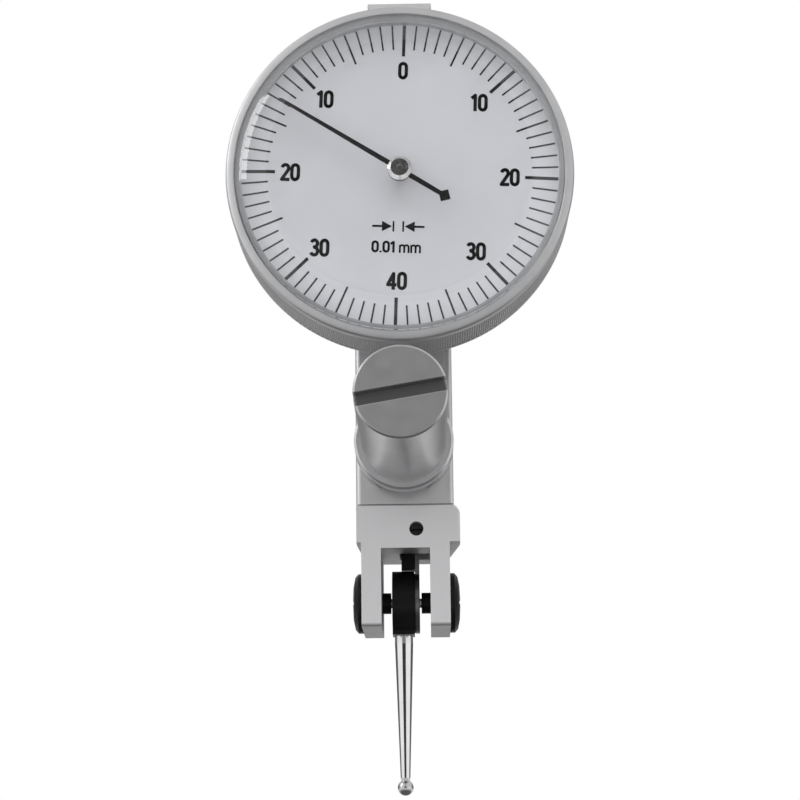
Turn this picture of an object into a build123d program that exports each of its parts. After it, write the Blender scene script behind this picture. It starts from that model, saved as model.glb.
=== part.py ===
"""Lever-type dial test indicator: narrow body, round dial on its front, slotted stem on a dovetail claw.

Millimetres. X to the right, Y away from the dial's reader, Z up, with the stylus pointing down.
The origin is on the stem's axis, at the shoulder where the stem leaves its dovetail claw.
"""
import math
import os

from build123d import *

os.makedirs("parts", exist_ok=True)

# Driving dimensions of the case
BODY_LEFT = -4.6
BODY_RIGHT = 4.6
COVER_THICKNESS = 0.7
BODY_FRONT = 3.3
BODY_DEPTH = 12.0
BODY_BOTTOM = -5.5
BODY_TOP = 43.2
WALL = 1.3
RUN_GAP = 0.03

# Dovetail rails
RAIL_HEIGHT = 1.8
RAIL_WIDE = 6.3
RAIL_NARROW = 4.3
RAIL_EDGE = 0.3
RAIL_GAP = 0.04
FRONT_RAIL_START = -3.4
FRONT_RAIL_LENGTH = 11.0
REAR_RAIL_LENGTH = 36.0
REAR_RAIL_START = -4.0

# Stem and claw
STEM_RADIUS = 4.0
STEM_LENGTH = 21.5
STEM_CHAMFER = 0.15
CLAW_RADIUS = 4.65
STUB_RADIUS = 2.4
SLOT_WIDTH = 1.2
SLOT_DEPTH = 1.3
SLOT_ANGLE = 9.5

# Dial and bezel
DIAL_Z = 23.6
BEZEL_RADIUS = 16.0
BEZEL_FRONT = -8.3
BEZEL_REAR = -1.7
BEZEL_BORE = 14.7
BEZEL_CREST = 15.3
BEZEL_SHOULDER = -7.6
WINDOW_RADIUS = 14.3
CRYSTAL_RADIUS = 15.1
CRYSTAL_FLAT = 12.0
CRYSTAL_FRONT = -10.0
CRYSTAL_EDGE = -8.45
CRYSTAL_BACK = -8.85
CRYSTAL_BACK_RADIUS = 11.8
CRYSTAL_SEAT = -7.65
CRYSTAL_SEAT_RADIUS = 14.2
LEDGE_FRONT = -7.45
LEDGE_REAR = -6.4
DIAL_THICKNESS = 0.35
DIAL_RADIUS = 14.65
DIAL_HOLE = 0.62
FLANGE_RADIUS = 14.65
FLANGE_FRONT = -4.9
FLANGE_REAR = -2.3
WIRE_Y = (FLANGE_FRONT + FLANGE_REAR) / 2
NECK_RADIUS = 12.8

# Lever and gear train
PIVOT_Y = 9.3
PIVOT_Z = -14.2
STYLUS_REACH = 17.4
MODULE = 0.12
SECTOR_TEETH = 611
CROWN_PINION_TEETH = 19
CROWN_TEETH = 68
CENTRE_PINION_TEETH = 16
SECTOR_RADIUS = SECTOR_TEETH * MODULE / 2
CROWN_PINION_RADIUS = CROWN_PINION_TEETH * MODULE / 2
CROWN_RADIUS = CROWN_TEETH * MODULE / 2
CENTRE_PINION_RADIUS = CENTRE_PINION_TEETH * MODULE / 2
CROWN_Z = PIVOT_Z + SECTOR_RADIUS + CROWN_PINION_RADIUS
ADDENDUM = 0.8 * MODULE
DEDENDUM = 1.15 * MODULE
ROOT_SHARE = 0.27
TIP_SHARE = 0.11
ARM_LEFT = 0.85
ARM_RIGHT = 1.25
ARM_TOP = 20.4
ARM_HUB_RADIUS = 2.9
WASHER_RADIUS = 2.85
ARBOR_RADIUS = 0.4
ARBOR_PIVOT = 0.2
CROWN_ARBOR_RADIUS = 0.35
CROWN_PIVOT = 0.18
CROWN_HOLES = 5
CROWN_PINION_LEFT = 1.1
CENTRE_PINION_FRONT = 4.8
PINION_WIDTH = 1.0

# Fork
SHOULDER_Z = -9.1
SLOT_TOP_Z = -9.65
PRONG_END_Z = -16.95
PRONG_OUTER = 4.15
PRONG_INNER = 2.3
FORK_RIGHT = 5.15
FORK_TOP_Z = -1.4
TAPER_START = 2.5
SEAM_CHAMFER = 0.15
PASSAGE_X = (-0.6, 2.4)
PASSAGE_Y = (7.4, 11.9)
CAP_RADIUS = 2.85
CAP_HEIGHT = 1.0
CAP_SLOT_HALF = 1.8
CAP_SLOT_WIDTH = 0.5
CAP_SLOT_DEPTH = 0.4
BOSS_RADIUS = 1.0

# Pointer, hairspring, sector and axle
POINTER_REAR = -7.95
POINTER_ANGLE = 57.6
POINTER_LENGTH = 13.0
POINTER_THICKNESS = 0.2
TAIL_LENGTH = 4.8
TAIL_SIDE = 0.9
HUB_FRONT = -8.7
HUB_RADIUS = 1.12
HUB_BEVEL = 0.3
HUB_NECK = 0.54
HUB_BORE = 0.27
HAIRSPRING_LEFT = -2.8
HAIRSPRING_WIDTH = 0.3
HAIRSPRING_TURNS = 4
HAIRSPRING_STEPS = 64
HAIRSPRING_START = 0.72
HAIRSPRING_PITCH = 0.62
HAIRSPRING_HALF = 0.04
SECTOR_RIVETS = (16.4, 18.8)
SECTOR_RIGHT = 1.8
SECTOR_SHOULDER = 21.2
SECTOR_BOTTOM = 15.4
SECTOR_STALK = 0.9
RIVET_RADIUS = 0.3
RIVET_HEAD = 0.55
SECTOR_HALF_COUNT = 7
AXLE_LEFT = -1.45
AXLE_RIGHT = 1.4
AXLE_RADIUS = 0.45
CONE_TIP = 0.06
CONE_LENGTH = 0.4

# Stylus and its holder
HOLDER_RADIUS = 3.05
HOLDER_LEFT = -1.35
HOLDER_RIGHT = 0.75
NECK_LEFT = -0.45
NECK_HALF = 1.2
NECK_BOTTOM = PIVOT_Z + HOLDER_RADIUS + 0.08
NECK_TOP = -3.0
STYLUS_X = (HOLDER_LEFT + HOLDER_RIGHT) / 2
STYLUS_TOP = PIVOT_Z - 3.1
BALL_Z = PIVOT_Z - STYLUS_REACH
BALL_RADIUS = 0.75
STYLUS_RADIUS = 0.87
STYLUS_TIP_RADIUS = 0.46
STYLUS_COLLAR = 0.8
HOLDER_FOOT_HALF = 1.5
THREAD_RADIUS = 0.6
THREAD_LENGTH = 2.0

# Derived limits of the case
BODY_BACK = BODY_FRONT + BODY_DEPTH
FRAME_RIGHT = BODY_RIGHT - COVER_THICKNESS
CAVITY_LEFT = BODY_LEFT + 1.2
CAVITY_FRONT = BODY_FRONT + WALL
CAVITY_BACK = BODY_BACK - WALL
CAVITY_TOP = BODY_TOP - 2.0

# Jewels
JEWEL_RADIUS = 0.7
JEWEL_THICKNESS = 0.5
BUSH_RADIUS = 1.9
BUSH_BORE = 0.55

# Bridges
CROWN_BRIDGE_LEFT = 2.9
CROWN_BRIDGE_RIGHT = 3.6
PINION_BRIDGE_FRONT = 6.5
PINION_BRIDGE_REAR = 7.3
PINION_BRIDGE_LEFT = -0.65
PINION_BRIDGE_TOP = 31.2
PINION_EYE = 1.0
UPPER_POST = (9.3, 30.5)
LOWER_POST = (13.0, 16.8)
PINION_SCREW = (0.6, 30.0)
PINION_SCREW_TIP = 3.9
POST_RADIUS = 0.95
POST_HOLE_END = 0.9
SMALL_SCREW = 0.4
SMALL_HOLE = 0.42

# Fasteners: positions on the face they enter
LUG_LEFT = 0.8
LUG_HALF = 1.2
COVER_SCREWS = [(5.0, -3.0), (13.6, 12.0), (5.0, 34.0), (13.6, 41.4)]
BASE_SCREWS = [(x, DIAL_Z + z) for x in (-2.4, 2.4) for z in (-8.0, 8.0)]
FORK_SCREWS = [(5.9, -3.6), (12.7, -3.6)]
BASE_SCREW_HEAD = 0.95
BASE_SCREW_RADIUS = 0.5
BASE_SCREW_SEAT = FLANGE_FRONT + 5.0
# Head radius, shank radius, head face and tip along X
COVER_SCREW = (1.05, 0.55, BODY_RIGHT, 1.5)
FORK_SCREW = (1.1, 0.6, BODY_LEFT, -1.0)
STOP_SCREW_Z = -7.85
STOP_SCREW_RADIUS = 0.66
STOP_SCREW_X = 1.05
STOP_SCREW_TIP = 7.88
STOP_SCREW_SUNK = 1.2


def block(x0, x1, y0, y1, z0, z1):
    """A box given by its limits along each axis."""
    middle = Pos((x0 + x1) / 2, (y0 + y1) / 2, (z0 + z1) / 2)
    return middle * Box(x1 - x0, y1 - y0, z1 - z0)


def rod_x(radius, x0, x1, y, z):
    """A cylinder along X."""
    return Pos((x0 + x1) / 2, y, z) * Rot(0, 90, 0) * Cylinder(radius, x1 - x0)


def rod_y(radius, y0, y1, x, z):
    """A cylinder along Y."""
    return Pos(x, (y0 + y1) / 2, z) * Rot(90, 0, 0) * Cylinder(radius, y1 - y0)


def cone_x(radius_left, radius_right, x0, x1, y, z):
    """A cone along X with its two end radii."""
    return Pos((x0 + x1) / 2, y, z) * Rot(0, 90, 0) * Cone(radius_left, radius_right, x1 - x0)


def turned_y(points, x, z):
    """A turned piece about an axis along Y, from its (radius, y) outline."""
    face = make_face(Polyline(*points, close=True))
    return Pos(x, 0, z) * revolve(face, axis=Axis.Y)


def plate_yz(points, x0, x1):
    """A flat plate across X, from its (y, z) outline."""
    face = make_face(Plane.YZ * Polyline(*points, close=True))
    return Pos(x0, 0, 0) * extrude(face, x1 - x0, dir=(1, 0, 0))


def dovetail(length):
    """A dovetail bar along Z, its root on the plane y = 0 and its wide face towards -Y."""
    edge_y = -RAIL_HEIGHT + RAIL_EDGE
    points = [
        (-RAIL_NARROW / 2, 0.0),
        (RAIL_NARROW / 2, 0.0),
        (RAIL_WIDE / 2, edge_y),
        (RAIL_WIDE / 2, -RAIL_HEIGHT),
        (-RAIL_WIDE / 2, -RAIL_HEIGHT),
        (-RAIL_WIDE / 2, edge_y),
    ]
    return extrude(make_face(Polyline(*points, close=True)), length)


def tooth(angle, pitch_radius, pitch_angle):
    """The four outline points of one gear tooth, as (radius, angle) pairs turned to (u, v)."""
    root = pitch_radius - DEDENDUM
    tip = pitch_radius + ADDENDUM
    points = []
    for radius, share in ((root, ROOT_SHARE), (tip, TIP_SHARE), (tip, -TIP_SHARE), (root, -ROOT_SHARE)):
        turn = angle + share * pitch_angle
        points.append((radius * math.cos(turn), radius * math.sin(turn)))
    return points


def spur_outline(teeth, start):
    """The closed outline of a spur gear about (0, 0), with one tooth centred on the start angle."""
    pitch_angle = 2 * math.pi / teeth
    points = []
    for i in range(teeth):
        points += tooth(start - i * pitch_angle, teeth * MODULE / 2, pitch_angle)
    return points


def screw_x(head_radius, shank_radius, head_x, tip_x, y, z, slot=0.25):
    """A flat countersunk screw along X, its slotted head's face at head_x and its point at tip_x."""
    way = 1 if tip_x > head_x else -1
    head_end = head_x + way * (head_radius - shank_radius)
    low, high = sorted((head_x, head_end))
    radii = (head_radius, shank_radius) if way > 0 else (shank_radius, head_radius)
    head = cone_x(*radii, low, high, y, z)
    shank = rod_x(shank_radius, min(head_end, tip_x), max(head_end, tip_x), y, z)
    groove = block(head_x - 0.2, head_x + 0.2, y - head_radius, y + head_radius, z - slot / 2, z + slot / 2)
    return head + shank - groove


def screw_hole_x(head_radius, shank_radius, head_x, tip_x, y, z):
    """The countersunk hole that a screw_x sits in, a little wider."""
    way = 1 if tip_x > head_x else -1
    wide = head_radius + 0.02
    narrow = shank_radius + 0.02
    head_end = head_x + way * (head_radius - shank_radius)
    low, high = sorted((head_x, head_end))
    radii = (wide, narrow) if way > 0 else (narrow, wide)
    end = tip_x + way * 0.1
    return cone_x(*radii, low, high, y, z) + rod_x(narrow, min(head_end, end), max(head_end, end), y, z)


def cheese_screw_y(head_radius, shank_radius, head_y, seat_y, tip_y, x, z):
    """A slotted cheese-head screw along Y, from its head's face to its point."""
    head = rod_y(head_radius, min(head_y, seat_y), max(head_y, seat_y), x, z)
    shank = rod_y(shank_radius, min(seat_y, tip_y), max(seat_y, tip_y), x, z)
    groove = block(x - head_radius, x + head_radius, head_y - 0.15, head_y + 0.15, z - 0.12, z + 0.12)
    return head + shank - groove


# Case

def body_frame():
    """The machined body: an open-sided box with three dovetail rails and two posts inside."""
    body = block(BODY_LEFT, FRAME_RIGHT, BODY_FRONT, BODY_BACK, BODY_BOTTOM, BODY_TOP)
    left_edges = body.edges().filter_by(Axis.Z).group_by(Axis.X)[0]
    body = fillet(left_edges, 0.5)
    body -= block(CAVITY_LEFT, FRAME_RIGHT, CAVITY_FRONT, CAVITY_BACK, BODY_BOTTOM, CAVITY_TOP)
    body += Pos(0, BODY_FRONT, FRONT_RAIL_START) * dovetail(FRONT_RAIL_LENGTH)
    body += Pos(0, BODY_BACK, REAR_RAIL_START) * Rot(0, 0, 180) * dovetail(REAR_RAIL_LENGTH)
    body += Pos(0, BODY_FRONT + 1.0, BODY_TOP) * Rot(-90, 0, 0) * dovetail(BODY_DEPTH - 2.0)
    for y, z in (UPPER_POST, LOWER_POST):
        body += rod_x(POST_RADIUS, CAVITY_LEFT, CROWN_BRIDGE_LEFT, y, z)
        body -= rod_x(SMALL_HOLE, POST_HOLE_END, CROWN_BRIDGE_LEFT, y, z)
    body -= rod_y(BUSH_RADIUS + 0.02, BODY_FRONT, CAVITY_FRONT, 0, DIAL_Z)
    body -= rod_x(JEWEL_RADIUS, CAVITY_LEFT - JEWEL_THICKNESS, CAVITY_LEFT, PIVOT_Y, CROWN_Z)
    for x, z in BASE_SCREWS:
        body -= rod_y(BASE_SCREW_RADIUS + 0.02, BODY_FRONT, CAVITY_FRONT, x, z)
    body -= rod_y(SMALL_HOLE, PINION_SCREW_TIP - 0.1, CAVITY_FRONT, *PINION_SCREW)
    for y, z in FORK_SCREWS:
        body -= screw_hole_x(*FORK_SCREW, y, z)
    for y, z in COVER_SCREWS:
        if y < PIVOT_Y:
            lug_y = (CAVITY_FRONT - 0.2, y + LUG_HALF)
        else:
            lug_y = (y - LUG_HALF, CAVITY_BACK + 0.2)
        body += block(LUG_LEFT, FRAME_RIGHT, *lug_y, z - LUG_HALF, z + LUG_HALF)
        body -= rod_x(COVER_SCREW[1] + 0.02, COVER_SCREW[3] - 0.3, FRAME_RIGHT, y, z)
    return body


def side_cover():
    """The flat plate that closes the body's right side."""
    cover = block(FRAME_RIGHT, BODY_RIGHT, BODY_FRONT, BODY_BACK, BODY_BOTTOM, BODY_TOP)
    cover = fillet(cover.edges().filter_by(Axis.Z).group_by(Axis.X)[-1], 0.35)
    for y, z in COVER_SCREWS:
        cover -= screw_hole_x(*COVER_SCREW, y, z)
    return cover


def side_cover_screws():
    """Four countersunk screws of the side cover."""
    return [screw_x(*COVER_SCREW, y, z) for y, z in COVER_SCREWS]


def dial_base():
    """The round housing behind the dial: a flange that the bezel turns on and a neck down to the body."""
    groove_front = WIRE_Y - 0.3
    groove_rear = WIRE_Y + 0.3
    groove_radius = FLANGE_RADIUS - 0.45
    base = turned_y(
        [
            (BUSH_RADIUS + 0.02, FLANGE_FRONT),
            (FLANGE_RADIUS - 0.3, FLANGE_FRONT),
            (FLANGE_RADIUS, FLANGE_FRONT + 0.3),
            (FLANGE_RADIUS, groove_front),
            (groove_radius, groove_front),
            (groove_radius, groove_rear),
            (FLANGE_RADIUS, groove_rear),
            (FLANGE_RADIUS, FLANGE_REAR),
            (NECK_RADIUS, FLANGE_REAR),
            (NECK_RADIUS, BODY_FRONT - 0.4),
            (NECK_RADIUS - 0.4, BODY_FRONT),
            (BUSH_RADIUS + 0.02, BODY_FRONT),
        ],
        0,
        DIAL_Z,
    )
    for x, z in BASE_SCREWS:
        base -= rod_y(BASE_SCREW_HEAD + 0.02, FLANGE_FRONT, BASE_SCREW_SEAT, x, z)
        base -= rod_y(BASE_SCREW_RADIUS + 0.02, FLANGE_FRONT, BODY_FRONT, x, z)
    return base


def dial_base_screws():
    """Four screws, sunk in the housing, that hold it to the body."""
    face = BASE_SCREW_SEAT - 0.8
    tip = CAVITY_FRONT - 0.1
    screws = []
    for x, z in BASE_SCREWS:
        screws.append(cheese_screw_y(BASE_SCREW_HEAD, BASE_SCREW_RADIUS, face, BASE_SCREW_SEAT, tip, x, z))
    return screws


def bezel_wire():
    """The spring wire ring that keeps the bezel on the housing and gives it its friction."""
    return Pos(0, WIRE_Y, DIAL_Z) * Rot(90, 0, 0) * Torus(FLANGE_RADIUS - 0.12, 0.25)


# Bezel

def bezel_ring():
    """The turning bezel: a ring with a ledge between crystal and dial and a groove for its wire."""
    groove_front = WIRE_Y - 0.4
    groove_rear = WIRE_Y + 0.4
    groove_radius = BEZEL_BORE + 0.25
    return turned_y(
        [
            (WINDOW_RADIUS, LEDGE_FRONT),
            (CRYSTAL_RADIUS + 0.05, LEDGE_FRONT),
            (CRYSTAL_RADIUS + 0.05, BEZEL_FRONT + 0.1),
            (BEZEL_CREST - 0.1, BEZEL_FRONT),
            (BEZEL_CREST, BEZEL_FRONT),
            (BEZEL_RADIUS, BEZEL_SHOULDER),
            (BEZEL_RADIUS, BEZEL_REAR - 0.3),
            (BEZEL_RADIUS - 0.3, BEZEL_REAR),
            (BEZEL_BORE, BEZEL_REAR),
            (BEZEL_BORE, groove_rear),
            (groove_radius, groove_rear),
            (groove_radius, groove_front),
            (BEZEL_BORE, groove_front),
            (BEZEL_BORE, LEDGE_REAR),
            (WINDOW_RADIUS, LEDGE_REAR),
        ],
        0,
        DIAL_Z,
    )


def crystal():
    """The clear window, a shell proud of the bezel: flat in the middle, sloping down to its rim."""
    return turned_y(
        [
            (0, CRYSTAL_BACK),
            (CRYSTAL_BACK_RADIUS, CRYSTAL_BACK),
            (CRYSTAL_SEAT_RADIUS, CRYSTAL_SEAT),
            (CRYSTAL_RADIUS, CRYSTAL_SEAT),
            (CRYSTAL_RADIUS, CRYSTAL_EDGE),
            (CRYSTAL_FLAT, CRYSTAL_FRONT),
            (0, CRYSTAL_FRONT),
        ],
        0,
        DIAL_Z,
    )


def ring_y(outer, inner, y0, y1):
    """A plain ring about the dial's axis."""
    return rod_y(outer, y0, y1, 0, DIAL_Z) - rod_y(inner, y0, y1, 0, DIAL_Z)


def crystal_gasket():
    """The thin seal under the crystal's rim."""
    return ring_y(CRYSTAL_RADIUS, WINDOW_RADIUS + 0.05, CRYSTAL_SEAT, LEDGE_FRONT)


def dial_plate():
    """The graduated plate behind the bezel's ledge, turning with it."""
    return ring_y(DIAL_RADIUS, DIAL_HOLE, LEDGE_REAR, LEDGE_REAR + DIAL_THICKNESS)


def dial_retaining_ring():
    """The ring that holds the dial against the bezel's ledge."""
    start = LEDGE_REAR + DIAL_THICKNESS
    return ring_y(DIAL_RADIUS, WINDOW_RADIUS - 0.3, start, start + 0.6)


# Pointer and its arbor

def pointer():
    """A tapered needle with a diamond-shaped tail and a disc round the hub's neck."""
    outline = [
        (-0.23, 0),
        (-0.13, POINTER_LENGTH - 0.3),
        (0, POINTER_LENGTH),
        (0.13, POINTER_LENGTH - 0.3),
        (0.23, 0),
        (0.19, -TAIL_LENGTH),
        (-0.19, -TAIL_LENGTH),
    ]
    body = extrude(make_face(Polyline(*outline, close=True)), POINTER_THICKNESS)
    tail = Box(TAIL_SIDE, TAIL_SIDE, POINTER_THICKNESS)
    body += Pos(0, -TAIL_LENGTH, POINTER_THICKNESS / 2) * Rot(0, 0, 45) * tail
    body += Pos(0, 0, POINTER_THICKNESS / 2) * Cylinder(HUB_RADIUS, POINTER_THICKNESS)
    body -= Cylinder(HUB_NECK + 0.01, 1.0)
    return Pos(0, POINTER_REAR, DIAL_Z) * Rot(90, 0, 0) * Rot(0, 0, POINTER_ANGLE) * body


def pointer_hub():
    """The bush that grips the arbor's end and carries the needle."""
    disc_y = POINTER_REAR - POINTER_THICKNESS
    return turned_y(
        [
            (HUB_BORE, LEDGE_REAR - 0.15),
            (HUB_NECK, LEDGE_REAR - 0.15),
            (HUB_NECK, disc_y),
            (HUB_RADIUS, disc_y),
            (HUB_RADIUS, HUB_FRONT + HUB_BEVEL),
            (HUB_RADIUS - HUB_BEVEL, HUB_FRONT),
            (HUB_BORE, HUB_FRONT),
        ],
        0,
        DIAL_Z,
    )


def pointer_arbor():
    """The thin shaft of the pointer, with a step behind the front jewel and a pivot at its back."""
    return turned_y(
        [
            (0, HUB_FRONT + 0.15),
            (HUB_BORE - 0.02, HUB_FRONT + 0.15),
            (HUB_BORE - 0.02, FLANGE_FRONT + 0.6),
            (ARBOR_RADIUS, FLANGE_FRONT + 0.7),
            (ARBOR_RADIUS, PINION_BRIDGE_FRONT - 0.2),
            (ARBOR_PIVOT, PINION_BRIDGE_FRONT - 0.1),
            (ARBOR_PIVOT, PINION_BRIDGE_FRONT + 0.45),
            (0, PINION_BRIDGE_FRONT + 0.45),
        ],
        0,
        DIAL_Z,
    )


def centre_pinion():
    """Sixteen-tooth pinion on the pointer's arbor, driven by the crown wheel."""
    start = math.radians(90 + 180 / CENTRE_PINION_TEETH)
    face = make_face(Plane.XZ * Polyline(*spur_outline(CENTRE_PINION_TEETH, start), close=True))
    gear = extrude(face, PINION_WIDTH, dir=(0, 1, 0))
    gear = Pos(0, CENTRE_PINION_FRONT, DIAL_Z) * gear
    return gear - rod_y(ARBOR_RADIUS, CENTRE_PINION_FRONT, CENTRE_PINION_FRONT + PINION_WIDTH, 0, DIAL_Z)


def jewel_y(hole, y0):
    """A ring jewel about the pointer's axis."""
    end = y0 + JEWEL_THICKNESS
    return rod_y(JEWEL_RADIUS, y0, end, 0, DIAL_Z) - rod_y(hole, y0, end, 0, DIAL_Z)


def pointer_jewels():
    """The two ring jewels of the pointer's arbor."""
    front = jewel_y(HUB_BORE - 0.02 + RUN_GAP, FLANGE_FRONT)
    return [front, jewel_y(ARBOR_PIVOT + RUN_GAP, PINION_BRIDGE_FRONT)]


def centre_bush():
    """The tube through the housing and the body's front wall that holds the front jewel."""
    bush = rod_y(BUSH_RADIUS, FLANGE_FRONT, CAVITY_FRONT, 0, DIAL_Z)
    bush -= rod_y(BUSH_BORE, FLANGE_FRONT, CAVITY_FRONT, 0, DIAL_Z)
    return bush - rod_y(JEWEL_RADIUS, FLANGE_FRONT, FLANGE_FRONT + JEWEL_THICKNESS, 0, DIAL_Z)


def pinion_bridge():
    """The angle bracket inside the front wall that holds the pointer's rear jewel."""
    front = PINION_BRIDGE_FRONT
    rear = PINION_BRIDGE_REAR
    left = PINION_BRIDGE_LEFT
    bridge = block(left, 0.8, front, rear, DIAL_Z, PINION_BRIDGE_TOP)
    eye = rod_y(PINION_EYE, front, rear, 0, DIAL_Z)
    bridge += eye - block(-PINION_EYE, left, front, rear, DIAL_Z - PINION_EYE, DIAL_Z + PINION_EYE)
    bridge += block(left, 1.85, CAVITY_FRONT, rear, PINION_BRIDGE_TOP - 2.5, PINION_BRIDGE_TOP)
    bridge -= rod_y(ARBOR_PIVOT + RUN_GAP, front, rear, 0, DIAL_Z)
    bridge -= rod_y(JEWEL_RADIUS, front, front + JEWEL_THICKNESS, 0, DIAL_Z)
    return bridge - rod_y(SMALL_HOLE, CAVITY_FRONT, rear, *PINION_SCREW)


def pinion_bridge_screw():
    """The screw of the pinion bridge's foot."""
    face = PINION_BRIDGE_REAR + 0.5
    return cheese_screw_y(0.85, SMALL_SCREW, face, PINION_BRIDGE_REAR, PINION_SCREW_TIP, *PINION_SCREW)


# Crown wheel and its arbor

def crown_tooth():
    """One crown tooth pointing along +X, radial along -Y from the wheel's centre."""
    pitch = math.pi * MODULE
    root_x = -CENTRE_PINION_RADIUS - DEDENDUM - 0.05
    tip_x = -CENTRE_PINION_RADIUS + ADDENDUM
    root = ROOT_SHARE * pitch
    tip = TIP_SHARE * pitch
    points = [(root_x, root), (tip_x, tip), (tip_x, -tip), (root_x, -root)]
    face = make_face(Plane.XZ * Polyline(*points, close=True))
    return Pos(0, -CROWN_RADIUS - 0.3, 0) * extrude(face, 0.6, dir=(0, 1, 0))


def crown_wheel():
    """The contrate wheel: its teeth stand on its face and turn the pointer's pinion at right angles."""
    face_x = -CENTRE_PINION_RADIUS - DEDENDUM
    wheel = rod_x(CROWN_RADIUS + 0.3, face_x - 0.5, face_x, 0, 0)
    wheel -= rod_x(CROWN_RADIUS - 0.5, face_x - 0.2, face_x, 0, 0)
    for i in range(CROWN_HOLES):
        wheel -= Rot(360 * i / CROWN_HOLES, 0, 0) * rod_x(0.75, face_x - 0.6, face_x, 2.2, 0)
    wheel += rod_x(0.9, face_x - 0.8, face_x + 0.2, 0, 0)
    tooth_shape = crown_tooth()
    wheel += [Rot(360 * i / CROWN_TEETH, 0, 0) * tooth_shape for i in range(CROWN_TEETH)]
    wheel -= rod_x(CROWN_ARBOR_RADIUS, face_x - 1.0, 0, 0, 0)
    return Pos(0, PIVOT_Y, CROWN_Z) * wheel


def crown_pinion():
    """Nineteen-tooth pinion that the sector turns."""
    face = make_face(Plane.YZ * Polyline(*spur_outline(CROWN_PINION_TEETH, math.pi / 2), close=True))
    gear = extrude(face, PINION_WIDTH, dir=(1, 0, 0)) - rod_x(CROWN_ARBOR_RADIUS, 0, PINION_WIDTH, 0, 0)
    return Pos(CROWN_PINION_LEFT, PIVOT_Y, CROWN_Z) * gear


def crown_arbor():
    """The cross shaft of the crown wheel and its pinion, with a pivot at each end."""
    left = CAVITY_LEFT + 0.1
    right = CROWN_BRIDGE_LEFT - 0.1
    shaft = rod_x(CROWN_ARBOR_RADIUS, left, right, PIVOT_Y, CROWN_Z)
    shaft += rod_x(CROWN_PIVOT, CAVITY_LEFT - 0.42, left, PIVOT_Y, CROWN_Z)
    return shaft + rod_x(CROWN_PIVOT, right, CROWN_BRIDGE_LEFT + 0.42, PIVOT_Y, CROWN_Z)


def jewel_x(x0):
    """A ring jewel about the crown arbor."""
    hole = CROWN_PIVOT + RUN_GAP
    end = x0 + JEWEL_THICKNESS
    return rod_x(JEWEL_RADIUS, x0, end, PIVOT_Y, CROWN_Z) - rod_x(hole, x0, end, PIVOT_Y, CROWN_Z)


def crown_jewels():
    """The two ring jewels of the crown arbor."""
    return [jewel_x(CAVITY_LEFT - JEWEL_THICKNESS), jewel_x(CROWN_BRIDGE_LEFT)]


def crown_bridge():
    """The plate on two posts that holds the crown arbor's right end."""
    upper_y, upper_z = UPPER_POST
    lower_y, lower_z = LOWER_POST
    outline = [
        (upper_y - 1.2, upper_z + 1.2),
        (upper_y + 1.2, upper_z + 1.2),
        (lower_y + 0.9, CROWN_Z - 1.0),
        (lower_y + 0.9, lower_z - 1.1),
        (lower_y - 1.1, lower_z - 1.1),
        (PIVOT_Y - 1.2, CROWN_Z - 1.2),
    ]
    bridge = plate_yz(outline, CROWN_BRIDGE_LEFT, CROWN_BRIDGE_RIGHT)
    seat_end = CROWN_BRIDGE_LEFT + JEWEL_THICKNESS
    bridge -= rod_x(JEWEL_RADIUS, CROWN_BRIDGE_LEFT, seat_end, PIVOT_Y, CROWN_Z)
    for y, z in (UPPER_POST, LOWER_POST):
        bridge -= rod_x(SMALL_HOLE, CROWN_BRIDGE_LEFT, CROWN_BRIDGE_RIGHT, y, z)
    return bridge


def crown_bridge_screws():
    """The two screws of the crown bridge."""
    screws = []
    for y, z in (UPPER_POST, LOWER_POST):
        right = CROWN_BRIDGE_RIGHT
        head = rod_x(0.8, right, right + 0.22, y, z)
        shank = rod_x(SMALL_SCREW, POST_HOLE_END + 0.1, right, y, z)
        groove = block(right + 0.1, right + 0.3, y - 1, y + 1, z - 0.1, z + 0.1)
        screws.append(head + shank - groove)
    return screws


def spiral_point(turn, offset):
    """A point of the hairspring's spiral about an axis along X."""
    radius = HAIRSPRING_START + HAIRSPRING_PITCH * turn + offset
    angle = 2 * math.pi * turn
    return (0, radius * math.cos(angle), radius * math.sin(angle))


def hairspring():
    """The flat spiral spring that takes up the play in the gears."""
    steps = [HAIRSPRING_TURNS * i / HAIRSPRING_STEPS for i in range(HAIRSPRING_STEPS + 1)]
    inner = Spline([spiral_point(t, -HAIRSPRING_HALF) for t in steps])
    outer = Spline([spiral_point(t, HAIRSPRING_HALF) for t in steps])
    face = make_face([inner, Line(inner @ 1, outer @ 1), outer, Line(outer @ 0, inner @ 0)])
    return Pos(HAIRSPRING_LEFT, PIVOT_Y, CROWN_Z) * extrude(face, HAIRSPRING_WIDTH, dir=(1, 0, 0))


def hairspring_collet():
    """The small collar that fixes the hairspring's inner end to the arbor."""
    left = HAIRSPRING_LEFT - 0.1
    right = HAIRSPRING_LEFT + HAIRSPRING_WIDTH + 0.1
    collar = rod_x(HAIRSPRING_START - 0.06, left, right, PIVOT_Y, CROWN_Z)
    return collar - rod_x(CROWN_ARBOR_RADIUS, left, right, PIVOT_Y, CROWN_Z)


def hairspring_stud():
    """The pin in the body's wall that holds the hairspring's outer end."""
    y = PIVOT_Y + spiral_point(HAIRSPRING_TURNS, 0)[1] + 0.3
    return rod_x(0.25, CAVITY_LEFT, HAIRSPRING_LEFT + HAIRSPRING_WIDTH, y, CROWN_Z)


# Lever

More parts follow.
